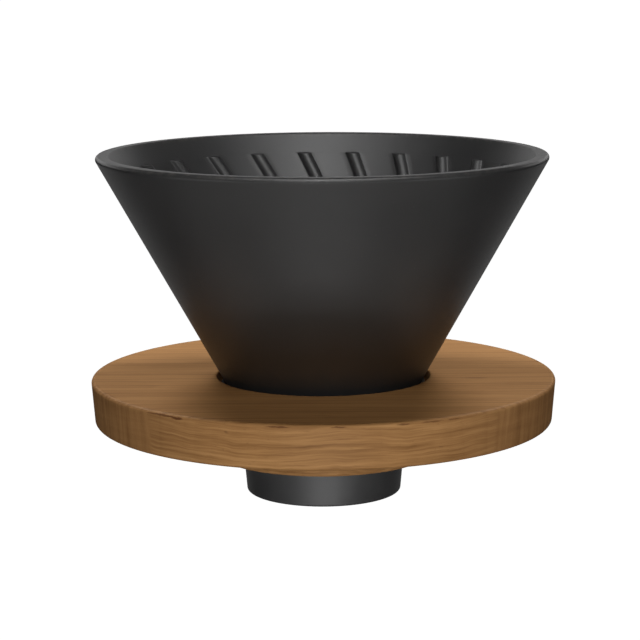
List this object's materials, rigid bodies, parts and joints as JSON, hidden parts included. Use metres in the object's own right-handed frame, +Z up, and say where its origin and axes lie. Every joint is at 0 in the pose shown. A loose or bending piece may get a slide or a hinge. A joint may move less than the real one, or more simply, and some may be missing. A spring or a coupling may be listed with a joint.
{
  "type": "pour over dripper",
  "caption": "Conical ceramic pour-over coffee dripper with spiral ribs inside, seated in a turned wooden collar that rests on a server or cup.",
  "frame": {"origin": "on the axis of the cone, at the underside of the silicone band on which the dripper stands", "axes": "+Z up along the axis of the cone, towards the rim; +X and +Y are across it, and the body is round about +Z apart from its ribs"},
  "size_m": [0.1204, 0.1204, 0.0884],
  "materials": {
    "ceramic_black": "matte black glaze",
    "hardwood": "turned, oiled hardwood with fine straight grain",
    "silicone_black": "matte black silicone"
  },
  "bodies": {
    "cone": {"cone_body": "ceramic_black"},
    "collar": {"wooden_collar": "hardwood", "seat_liner": "silicone_black"},
    "band": {"retaining_band": "silicone_black"}
  },
  "joints": [
    {"name": "collar_drop", "type": "slide", "parent": "cone", "child": "collar", "axis": [0, 0, -1], "range_m": [0, 0.032]},
    {"name": "band_pull", "type": "slide", "parent": "collar", "child": "band", "axis": [0, 0, -1], "range_m": [0, 0.014]}
  ]
}
